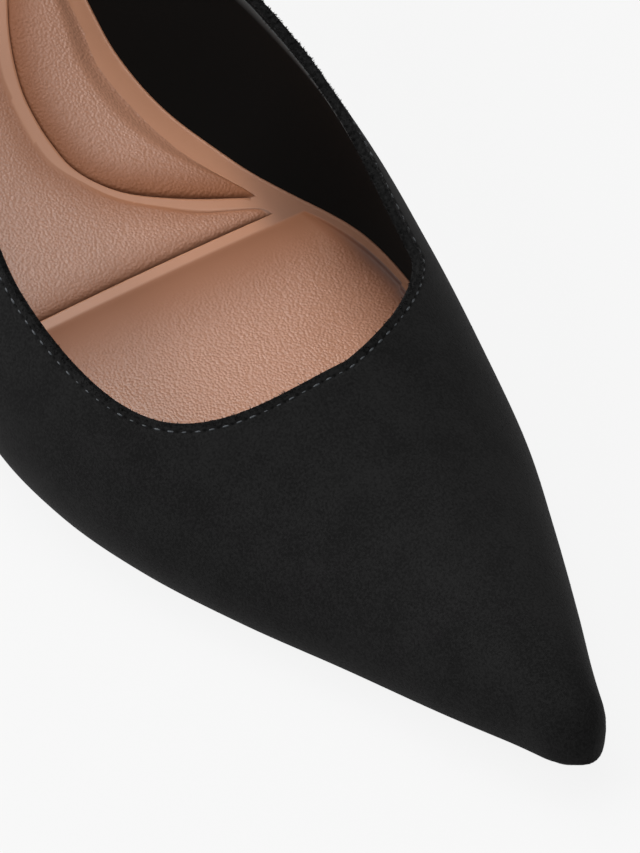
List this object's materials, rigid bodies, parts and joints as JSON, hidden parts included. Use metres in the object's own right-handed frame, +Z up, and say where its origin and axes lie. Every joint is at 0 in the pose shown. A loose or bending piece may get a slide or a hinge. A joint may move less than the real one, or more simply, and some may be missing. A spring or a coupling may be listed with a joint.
{
  "type": "pointed court pump",
  "caption": "Pointed slip-on court pump in black suede with a low-cut throat, a tan moulded footbed with padded fields, a thin outsole and a covered mid-height block heel.",
  "frame": {"origin": "middle of the heel's footprint on the floor, at the underside of the top piece", "axes": "+X from heel to toe, +Y towards the inner side of the foot, +Z up; the shoe stands on the floor plane z = 0"},
  "size_m": [0.254, 0.0845, 0.1031],
  "materials": {
    "black_suede": "fine matt suede nap, black, with a smooth black leather lining inside",
    "tan_footbed": "fine-grained tan leather over moulded padding, satin",
    "black_outsole": "smooth black resin, satin",
    "heel_cover": "fine matt suede nap, black",
    "top_piece_rubber": "firm black rubber, matt"
  },
  "bodies": {
    "root": {"upper": "black_suede", "insole": "tan_footbed", "outsole": "black_outsole", "heel": "heel_cover", "top_piece": "top_piece_rubber"}
  },
  "joints": []
}
